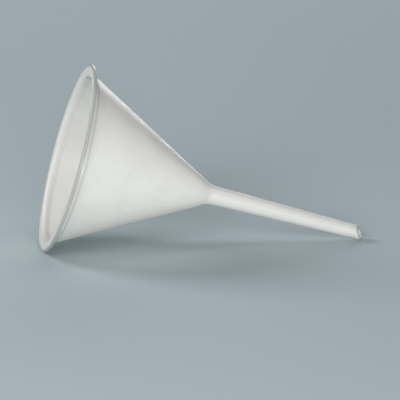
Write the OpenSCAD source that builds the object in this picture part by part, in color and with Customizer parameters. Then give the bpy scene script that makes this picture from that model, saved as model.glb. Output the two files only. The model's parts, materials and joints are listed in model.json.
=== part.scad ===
// Laboratory funnel of translucent plastic, lying on its side as on a bench.
// It rests on the back edge of its rim and on the tip of its stem, with its mouth towards -X.
// Millimetres, +Z up. The origin is on the bench, under the middle of the bounding box.

/* [Mouth] */
// Outer diameter of the rim flange
rim_d = 100; // [96:1:110]
// Thickness of the rim flange
rim_t = 1.5; // [1.3:0.1:2]
// Radius on the two outer edges of the flange
rim_edge_r = 0.45; // [0.2:0.05:0.6]
// Radius in the corner behind the flange
root_r = 0.5; // [0.2:0.1:0.8]
// Radius that turns the inside of the collar out into the front of the flange
lip_r = 2; // [1:0.1:2.2]
// Outer diameter of the collar behind the flange
collar_d = 88.8; // [84:0.2:90]
// Depth of the collar, from the front of the flange to the start of the cone
collar_depth = 4.1; // [4:0.1:8]

/* [Cone] */
// Included angle of the cone
cone_angle = 56.5; // [50:0.5:62]
// Thickness of the wall of the collar, the cone and the stem
wall = 1; // [0.7:0.05:1.3]

/* [Neck] */
// Radius outside, where the cone turns into the stem
neck_r = 8; // [4:0.5:12]
// Length of the neck above the corner of cone and stem
neck_above = 6; // [4:0.5:10]
// Length of the neck below that corner
neck_below = 5; // [4:0.5:10]

/* [Stem] */
// Outer diameter of the stem at the neck
stem_top_d = 10; // [8:0.2:12]
// Outer diameter of the stem at its tip
stem_tip_d = 6.8; // [6:0.2:8]
// Length of the stem, from the neck to the longest point of its tip
stem_length = 84.5; // [60:0.5:110]
// Length of the straight outlet bore at the tip, above which the bore widens
outlet_length = 20; // [15:1:40]
// Slant of the tip's cut away from square
tip_slant = 38; // [15:1:50]
// Turn of the tip's longest point round the stem, from the side that rests on the bench
tip_turn = 36; // [0:1:60]

/* [Gate mark] */
// Diameter of the small round mark that moulding leaves inside the collar
gate_d = 1.3; // [0.8:0.1:1.4]
// Height of the mark above the inner wall
gate_h = 0.35; // [0.2:0.05:0.6]
// Turn of the mark round the mouth, from the side that rests on the bench
gate_turn = 158; // [0:1:359]

/* [Hidden] */
$fn = 180;
plastic = [0.87, 0.88, 0.87];

// Radii of the outer outline
rim_r = rim_d / 2;
collar_r = collar_d / 2;
stem_top_r = stem_top_d / 2;
stem_tip_r = stem_tip_d / 2;

// Depths below the mouth, where the outline and the nodes change
flange_end = max(lip_r, rim_t + root_r);
half_angle = cone_angle / 2;
neck_z = collar_depth + (collar_r - stem_top_r) / tan(half_angle);
neck_start = neck_z - neck_above;
neck_end = neck_z + neck_below;
tip_z = neck_z + stem_length;
outlet_z = tip_z - outlet_length;

// Radii and depths of the inner outline, one wall thickness inside the outer one
mouth_r = collar_r - wall;
bore_top_r = stem_top_r - wall;
outlet_r = stem_tip_r - wall;
skew_gap = wall / cos(half_angle) - wall;
cone_in_z = collar_depth - skew_gap / tan(half_angle);
bore_slope = (bore_top_r - outlet_r) / (outlet_z - neck_z);
throat_rise = skew_gap / (tan(half_angle) - bore_slope);
throat = [bore_top_r + throat_rise * bore_slope, neck_z - throat_rise];

// The stem's outline runs on past the tip, so that only the slanted cut ends it
stem_slope = (stem_top_r - stem_tip_r) / stem_length;
stock_z = tip_z + 2;
stock_r = stem_tip_r - (stock_z - tip_z) * stem_slope;

// Directions of the outlines on either side of the neck, in the plane of radius and depth
up_cone = half_angle - 90;
down_stem = 90 + atan(stem_slope);
down_bore = 90 + atan(bore_slope);

// How far an arc runs past the straight sides that it touches, so that they meet cleanly
overrun = 0.0005;

// The slanted cut crosses the stem's axis at cut_z
slant = tan(tip_slant);
cut_z = tip_z - stem_tip_r * slant;
cutter = 4 * stem_top_d;

// The mark is at the middle of the collar's straight inner wall
gate_z = (lip_r + cone_in_z) / 2;

// Tilt of the axis when the rim's back edge and the lower side of the tip are on one level.
// The slanted cut's lowest point is a few hundredths lower still, and lift allows for it.
edge_x = rim_r - rim_edge_r;
edge_z = rim_t - rim_edge_r;
rest_run = cut_z + stem_tip_r * slant * cos(tip_turn) - edge_z;
rest_rise = edge_x - stem_tip_r;
tilt = atan(rest_rise / rest_run) + asin(rim_edge_r / norm([rest_rise, rest_run]));

// Shifts that put the lowest point on the bench and the origin under the middle
rim_drop = edge_x * cos(tilt) + edge_z * sin(tilt) + rim_edge_r;
cut_drop = [cos(tilt) + slant * sin(tilt) * cos(tip_turn), slant * sin(tilt) * sin(tip_turn)];
tip_drop = cut_z * sin(tilt) + stem_tip_r * norm(cut_drop);
lift = max(rim_drop, tip_drop);
mouth_end_x = rim_edge_r * cos(tilt) - edge_x * sin(tilt) - rim_edge_r;
cut_reach = [slant * cos(tilt) * cos(tip_turn) - sin(tilt), slant * cos(tilt) * sin(tip_turn)];
tip_end_x = cut_z * cos(tilt) + stem_tip_r * norm(cut_reach);
centre_x = (mouth_end_x + tip_end_x) / 2;

// Unit vector at an angle in the plane
function dir(angle) = [cos(angle), sin(angle)];

// Region between the corner p and an arc that touches both of its sides, which leave p
// at the angles from and to. It reaches a little past p, so that it joins what is there.
module corner_fill(p, from, to, r) {
    half = (to - from) / 2;
    middle = dir((from + to) / 2);
    reach = r / tan(half);
    centre = p + middle * r / sin(half);
    difference() {
        polygon([p - 0.1 * middle, p + reach * dir(from), centre, p + reach * dir(to)]);
        translate(centre) circle(r + overrun);
    }
}

// Everything inside the outer outline, radius along X and depth along Y
module outer_section() {
    difference() {
        union() {
            polygon([
                [0, 0], [rim_r, 0], [rim_r, rim_t], [collar_r, rim_t], [collar_r, collar_depth],
                [stem_top_r, neck_z], [stock_r, stock_z], [0, stock_z]
            ]);
            corner_fill([collar_r, rim_t], 0, 90, root_r);
            corner_fill([stem_top_r, neck_z], up_cone, down_stem, neck_r);
        }
        corner_fill([rim_r, 0], 90, 180, rim_edge_r);
        corner_fill([rim_r, rim_t], 180, 270, rim_edge_r);
    }
}

// The hollow, from in front of the mouth to beyond the tip
module inner_section() {
    polygon([
        [-1, -1], [mouth_r, -1], [mouth_r, cone_in_z], throat, [outlet_r, outlet_z],
        [outlet_r, stock_z + 1], [-1, stock_z + 1]
    ]);
    corner_fill([mouth_r, 0], 0, 90, lip_r);
    corner_fill(throat, up_cone, down_bore, neck_r + wall);
}

// The part of the moulding between two depths, with its axis along +Z and its mouth at 0
module ring(from, to) {
    rotate_extrude()
        intersection() {
            difference() {
                outer_section();
                inner_section();
            }
            translate([0, from]) square([rim_r + 1, to - from]);
        }
}

// Lays the funnel down, so that its own +X side is the one on the bench
module laid_down() {
    translate([-centre_x, 0, lift]) rotate([0, 90 + tilt, 0]) children();
}

module rim_flange() {
    color(plastic) laid_down() ring(0, flange_end);
}

module collar() {
    color(plastic) laid_down() ring(flange_end, collar_depth);
}

module cone() {
    color(plastic) laid_down() ring(collar_depth, neck_start);
}

module neck() {
    color(plastic) laid_down() ring(neck_start, neck_end);
}

// The stem loses everything beyond the slanted cut
module stem() {
    color(plastic) laid_down() difference() {
        ring(neck_end, stock_z);
        translate([0, 0, cut_z])
            rotate([0, -tip_slant, tip_turn])
                translate([-cutter / 2, -cutter / 2, 0]) cube(cutter);
    }
}

// A short stud on the collar's inner wall, with its foot shaped to that wall
module gate_mark() {
    color(plastic) laid_down() intersection() {
        rotate([0, 0, gate_turn])
            translate([mouth_r - gate_h, 0, gate_z])
                rotate([0, 90, 0]) cylinder(d = gate_d, h = 2 * gate_h);
        cylinder(r = mouth_r, h = collar_depth);
    }
}

rim_flange();
collar();
cone();
neck();
stem();
gate_mark();
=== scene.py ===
"""Looks of a translucent plastic laboratory funnel that lies on its side. Metres, in the CAD frame."""

import json
import math

import bpy
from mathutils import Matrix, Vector


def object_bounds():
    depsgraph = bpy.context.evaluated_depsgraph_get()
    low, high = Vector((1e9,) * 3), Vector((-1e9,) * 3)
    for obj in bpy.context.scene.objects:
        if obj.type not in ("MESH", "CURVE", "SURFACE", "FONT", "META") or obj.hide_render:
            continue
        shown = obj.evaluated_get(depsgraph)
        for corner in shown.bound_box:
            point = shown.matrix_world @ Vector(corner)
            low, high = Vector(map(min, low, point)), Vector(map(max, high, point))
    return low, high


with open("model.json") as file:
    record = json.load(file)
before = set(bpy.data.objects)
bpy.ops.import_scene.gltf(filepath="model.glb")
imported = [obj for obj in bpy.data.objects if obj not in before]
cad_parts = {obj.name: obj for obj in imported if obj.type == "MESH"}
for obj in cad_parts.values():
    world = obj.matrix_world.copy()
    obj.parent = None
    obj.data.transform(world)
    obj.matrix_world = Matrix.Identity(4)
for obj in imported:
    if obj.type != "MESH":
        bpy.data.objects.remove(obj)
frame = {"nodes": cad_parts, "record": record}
cad_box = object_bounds()
middle = (Vector(cad_box[0]) + Vector(cad_box[1])) / 2
MM = 0.001

# Every direction is an azimuth and an elevation in degrees, as seen from the funnel. Azimuth 0
# is straight to the front, 90 is the stem's side and 270 the mouth's side.

# Camera: a long lens, slightly above the bench and slightly on the mouth's side. It looks at a
# point a little left of the box's middle and below it, where its view is VIEW_WIDTH wide, and
# it sees as far as VIEW_END.
VIEW_AZIMUTH = -6.6
VIEW_ELEVATION = 13.9
VIEW_DISTANCE = 3.5
VIEW_WIDTH = 0.20685
VIEW_END = 50
LOOK_RIGHT = -0.0010
LOOK_DOWN = 0.0235
SENSOR_MM = 36

# Studio: soft round lamps about the funnel, as azimuth, elevation, watts and diameter
LAMP_DISTANCE = 1.6
LAMPS = {
    "front": (0, 4, 13.5, 0.4),
    "mouth_front": (330, 22, 13.5, 0.9),
    "stem_front": (30, 8, 2, 0.9),
    "mouth_back": (245, 35, 12, 0.9),
    "above": (100, 70, 3.5, 0.9),
    "back": (166, 10, 8, 0.9),
}
WORLD_COLOUR = (0.05, 0.055, 0.06, 1)

# Floor: matte, so that it doesn't mirror the lamps
FLOOR_HALF = 6
FLOOR_COLOUR = (0.46, 0.54, 0.57, 1)
FLOOR_ROUGHNESS = 1.0
FLOOR_GLOSS = 0.0

# Plastic: cloudy between two pale colours, and blended with painted shade where it is thick and where
# shade falls
SLOT = "natural_polypropylene"
PLASTIC_IOR = 1.49
LIGHT_THROUGH = 0.3
PALE = (0.935, 0.925, 0.89, 1)
CLOUDY = (0.90, 0.891, 0.858, 1)
# Colour of the painted shade, which thick and shaded places are blended towards
PAINTED_SHADE_COLOUR = (0.50, 0.505, 0.49, 1)

# Large clouds mixed with a finer haze, and the range of the mixture that turns PALE to CLOUDY
CLOUD_SIZE = 14 * MM
CLOUD_SHARE = 0.65
HAZE_SIZE = 2.5 * MM
HAZE_SHARE = 0.35
MOTTLING_RANGE = (0.35, 0.65)

# Relief: a fine grain, and very fine rings along the axis
GRAIN_SIZE = 0.45 * MM
GRAIN_HEIGHT = 0.03 * MM
GRAIN_STRENGTH = 0.6
RING_PITCH = 0.9 * MM
RING_HEIGHT = 0.004 * MM
RING_STRENGTH = 0.5

# Handling has dulled the gloss in patches: over the noise's range, the first roughness turns
# to the second
HANDLING_SIZE = 6 * MM
HANDLING_RANGE = (0.3, 0.7)
ROUGHNESS_RANGE = (0.30, 0.42)

# Places of the painted shade. Radii are from the funnel's axis, where the flange ends at 50 mm and the
# collar's wall is from 43.4 to 44.4 mm, and depths are from the front of the mouth. A pair is
# where the shade begins and where it is complete.
# Painted shade on the flange's outer edge, where the plastic is thick and lets little light through
EDGE_RADII = (48.2 * MM, 49.5 * MM)
# A band of painted shade along the corner of collar and cone, weak on the wall's inner side,
# strong on its outer
CORNER_DEPTH = 4.0 * MM
CORNER_HALF = 0.8 * MM
CORNER_RADII = (43.7 * MM, 44.1 * MM)
CORNER_INSIDE = 0.1
CORNER_OUTSIDE = 0.45
# Painted shade on the stem, beginning along the neck, and more of it at the tip
STEM_DEPTHS = (68 * MM, 85 * MM)
STEM_SHADE = 0.17
TIP_DEPTHS = (146 * MM, 157 * MM)
TIP_SHADE = 0.27
# A halo of painted shadow round the gate mark, by distance from the mark's middle: it begins at the
# first pair and fades at the second. It fades by radius too, so that it stays on the collar's inner
# side.
GATE_DOT = (0.55 * MM, 0.75 * MM)
GATE_HALO = (1.3 * MM, 2.8 * MM)
GATE_RADII = (44.15 * MM, 44.35 * MM)


def direction(azimuth, elevation):
    """Unit vector from the funnel towards an azimuth and an elevation in degrees."""
    a, e = math.radians(azimuth), math.radians(elevation)
    return Vector((math.sin(a) * math.cos(e), -math.cos(a) * math.cos(e), math.sin(e)))


def mount(name):
    """Place and direction of one of the record's mounts."""
    found = next(m for m in frame["record"]["mounts"] if m["name"] == name)
    return Vector(found["pos_m"]), Vector(found["axis"]).normalized()


def funnel_axis():
    """The middle of the mouth, and the direction from there to the tip."""
    on_axis, towards_tip = mount("outlet_bore")
    on_rim, _ = mount("rim_face")
    return on_axis - towards_tip * (on_axis - on_rim).dot(towards_tip), towards_tip


def middle_of(node_name):
    """The middle of a CAD node's bounding box."""
    corners = [Vector(corner) for corner in frame["nodes"][node_name].bound_box]
    return sum(corners, Vector()) / len(corners)


def add_camera():
    back = direction(VIEW_AZIMUTH, VIEW_ELEVATION)
    a = math.radians(VIEW_AZIMUTH)
    right = Vector((math.cos(a), math.sin(a), 0))
    up = back.cross(right)
    target = middle + LOOK_RIGHT * right - LOOK_DOWN * up
    data = bpy.data.cameras.new("camera")
    data.sensor_width = SENSOR_MM
    data.lens = SENSOR_MM * VIEW_DISTANCE / VIEW_WIDTH
    data.clip_end = VIEW_END
    camera = bpy.data.objects.new("camera", data)
    camera.location = target + back * VIEW_DISTANCE
    camera.rotation_euler = back.to_track_quat("Z", "Y").to_euler()
    bpy.context.scene.collection.objects.link(camera)
    bpy.context.scene.camera = camera


def add_lamp(name, azimuth, elevation, watts, diameter):
    data = bpy.data.lights.new(name, "AREA")
    data.shape = "DISK"
    data.size = diameter
    data.energy = watts
    lamp = bpy.data.objects.new(name, data)
    lamp.location = middle + direction(azimuth, elevation) * LAMP_DISTANCE
    lamp.rotation_euler = (lamp.location - middle).to_track_quat("Z", "Y").to_euler()
    lamp.visible_camera = False
    bpy.context.scene.collection.objects.link(lamp)


def new_material(name):
    """A material with nodes, and its Principled shader."""
    material = bpy.data.materials.new(name)
    material.use_nodes = True
    return material, material.node_tree.nodes["Principled BSDF"]


def add_floor():
    material, shader = new_material("floor")
    shader.inputs["Base Color"].default_value = FLOOR_COLOUR
    shader.inputs["Roughness"].default_value = FLOOR_ROUGHNESS
    shader.inputs["Specular IOR Level"].default_value = FLOOR_GLOSS
    mesh = bpy.data.meshes.new("floor")
    h = FLOOR_HALF
    mesh.from_pydata([(-h, -h, 0), (h, -h, 0), (h, h, 0), (-h, h, 0)], [], [(0, 1, 2, 3)])
    mesh.materials.append(material)
    floor = bpy.data.objects.new("floor", mesh)
    bpy.context.scene.collection.objects.link(floor)


def add_world():
    world = bpy.data.worlds.new("studio")
    world.use_nodes = True
    world.node_tree.nodes["Background"].inputs["Color"].default_value = WORLD_COLOUR
    bpy.context.scene.world = world


# ---------------------------------------------------------------- the plastic


class Shader:
    """Short names for the nodes that the plastic is built from. An argument that is fed in may
    be another node's output or a constant."""

    def __init__(self, tree):
        self.tree = tree

    def add(self, kind, **settings):
        node = self.tree.nodes.new(kind)
        for name, value in settings.items():
            setattr(node, name, value)
        return node

    def feed(self, socket, value):
        if isinstance(value, bpy.types.NodeSocket):
            self.tree.links.new(value, socket)
        else:
            socket.default_value = value

    def maths(self, operation, a, b=0.0):
        node = self.add("ShaderNodeMath", operation=operation)
        self.feed(node.inputs[0], a)
        self.feed(node.inputs[1], b)
        return node.outputs[0]

    def largest(self, first, *others):
        for other in others:
            first = self.maths("MAXIMUM", first, other)
        return first

    def vector(self, operation, a, b=(0, 0, 0), output="Vector"):
        node = self.add("ShaderNodeVectorMath", operation=operation)
        self.feed(node.inputs[0], a)
        self.feed(node.inputs[1], b)
        return node.outputs[output]

    def length(self, a):
        return self.vector("LENGTH", a, output="Value")

    def scaled(self, a, factor):
        node = self.add("ShaderNodeVectorMath", operation="SCALE")
        self.feed(node.inputs[0], a)
        self.feed(node.inputs["Scale"], factor)
        return node.outputs["Vector"]

    def mapped(self, value, from_low, from_high, to_low=0.0, to_high=1.0):
        """A smooth step from to_low to to_high while value goes from from_low to from_high."""
        node = self.add("ShaderNodeMapRange", interpolation_type="SMOOTHSTEP")
        for k, v in enumerate((value, from_low, from_high, to_low, to_high)):
            self.feed(node.inputs[k], v)
        return node.outputs[0]

    def noise(self, place, size, detail=2.0, roughness=0.5):
        """Noise whose largest features are about size across."""
        node = self.add("ShaderNodeTexNoise")
        self.feed(node.inputs["Vector"], place)
        node.inputs["Scale"].default_value = 1 / size
        node.inputs["Detail"].default_value = detail
        node.inputs["Roughness"].default_value = roughness
        return node.outputs["Fac"]

    def blend(self, factor, a, b):
        """A mix of two colours, which are the node's inputs 6 and 7 and its output 2."""
        node = self.add("ShaderNodeMix", data_type="RGBA")
        self.feed(node.inputs["Factor"], factor)
        self.feed(node.inputs[6], a)
        self.feed(node.inputs[7], b)
        return node.outputs[2]

    def bump(self, height, distance, strength, normal=None):
        node = self.add("ShaderNodeBump")
        self.feed(node.inputs["Height"], height)
        node.inputs["Distance"].default_value = distance
        node.inputs["Strength"].default_value = strength
        if normal:
            self.feed(node.inputs["Normal"], normal)
        return node.outputs["Normal"]


def cloudy_body(s, place):
    """Colour of the plastic where it is thin."""
    clouds = s.noise(place, CLOUD_SIZE, detail=3, roughness=0.55)
    haze = s.noise(place, HAZE_SIZE, detail=2)
    cloud_part = s.maths("MULTIPLY", clouds, CLOUD_SHARE)
    haze_part = s.maths("MULTIPLY", haze, HAZE_SHARE)
    mottling = s.maths("ADD", cloud_part, haze_part)
    return s.blend(s.mapped(mottling, *MOTTLING_RANGE), PALE, CLOUDY)


def corner_shade(s, depth, radius):
    """Painted shade along the corner of collar and cone."""
    from_corner = s.maths("ABSOLUTE", s.maths("SUBTRACT", depth, CORNER_DEPTH))
    band = s.mapped(from_corner, 0.0, CORNER_HALF, 1.0, 0.0)
    strength = s.mapped(radius, *CORNER_RADII, CORNER_INSIDE, CORNER_OUTSIDE)
    return s.maths("MULTIPLY", band, strength)


def gate_shade(s, place, radius):
    """Painted shadow round the gate mark, on the collar's inner side."""
    from_gate = s.length(s.vector("SUBTRACT", place, tuple(middle_of("gate_mark"))))
    beyond_dot = s.mapped(from_gate, *GATE_DOT)
    within_halo = s.mapped(from_gate, *GATE_HALO, 1.0, 0.0)
    on_inner_side = s.mapped(radius, *GATE_RADII, 1.0, 0.0)
    return s.maths("MULTIPLY", s.maths("MULTIPLY", beyond_dot, within_halo), on_inner_side)


def relief(s, place, depth):
    """Normal of the surface, with its grain and its rings."""
    grain = s.noise(place, GRAIN_SIZE, detail=2)
    rings = s.maths("SINE", s.maths("MULTIPLY", depth, 2 * math.pi / RING_PITCH))
    normal = s.bump(grain, GRAIN_HEIGHT, GRAIN_STRENGTH)
    return s.bump(rings, RING_HEIGHT, RING_STRENGTH, normal)


def plastic():
    """Natural polypropylene: cloudy, satin, lit a little from behind, and darkened by painted shade at
    the rim's edge, along the corner of collar and cone, along the stem, at its tip and round the gate
    mark."""
    material, surface = new_material(SLOT)
    s = Shader(material.node_tree)
    mouth, towards_tip = funnel_axis()

    place = s.add("ShaderNodeTexCoord").outputs["Object"]
    from_mouth = s.vector("SUBTRACT", place, tuple(mouth))
    depth = s.vector("DOT_PRODUCT", from_mouth, tuple(towards_tip), output="Value")
    along = s.scaled(tuple(towards_tip), depth)
    radius = s.length(s.vector("SUBTRACT", from_mouth, along))

    # Painted shade: the flange's outer edge, the corner of collar and cone, the stem, its tip and a
    # halo round the gate mark are blended towards the shade colour
    edge = s.mapped(radius, *EDGE_RADII)
    corner = corner_shade(s, depth, radius)
    # Painted shade along the stem and at its tip
    stem = s.mapped(depth, *STEM_DEPTHS, 0.0, STEM_SHADE)
    tip = s.mapped(depth, *TIP_DEPTHS, 0.0, TIP_SHADE)
    painted_shade = s.largest(edge, corner, stem, tip, gate_shade(s, place, radius))
    colour = s.blend(painted_shade, cloudy_body(s, place), PAINTED_SHADE_COLOUR)

    normal = relief(s, place, depth)
    handling = s.noise(place, HANDLING_SIZE, detail=4, roughness=0.6)
    s.feed(surface.inputs["Base Color"], colour)
    s.feed(surface.inputs["Roughness"], s.mapped(handling, *HANDLING_RANGE, *ROUGHNESS_RANGE))
    s.feed(surface.inputs["Normal"], normal)
    surface.inputs["IOR"].default_value = PLASTIC_IOR

    behind = s.add("ShaderNodeBsdfTranslucent")
    s.feed(behind.inputs["Color"], colour)
    s.feed(behind.inputs["Normal"], normal)
    both = s.add("ShaderNodeMixShader")
    both.inputs["Fac"].default_value = LIGHT_THROUGH
    s.feed(both.inputs[1], surface.outputs[0])
    s.feed(both.inputs[2], behind.outputs[0])
    s.feed(material.node_tree.nodes["Material Output"].inputs["Surface"], both.outputs[0])
    return material


def dress_nodes():
    """The CAD's own solids have the right shape, so they only get the plastic."""
    material = plastic()
    for name in sorted(frame["nodes"]):
        node = frame["nodes"][name]
        node.data.materials.clear()
        node.data.materials.append(material)


add_camera()
add_floor()
add_world()
for lamp_name, lamp_place in LAMPS.items():
    add_lamp(lamp_name, *lamp_place)
dress_nodes()
bpy.context.scene.view_settings.view_transform = "Standard"
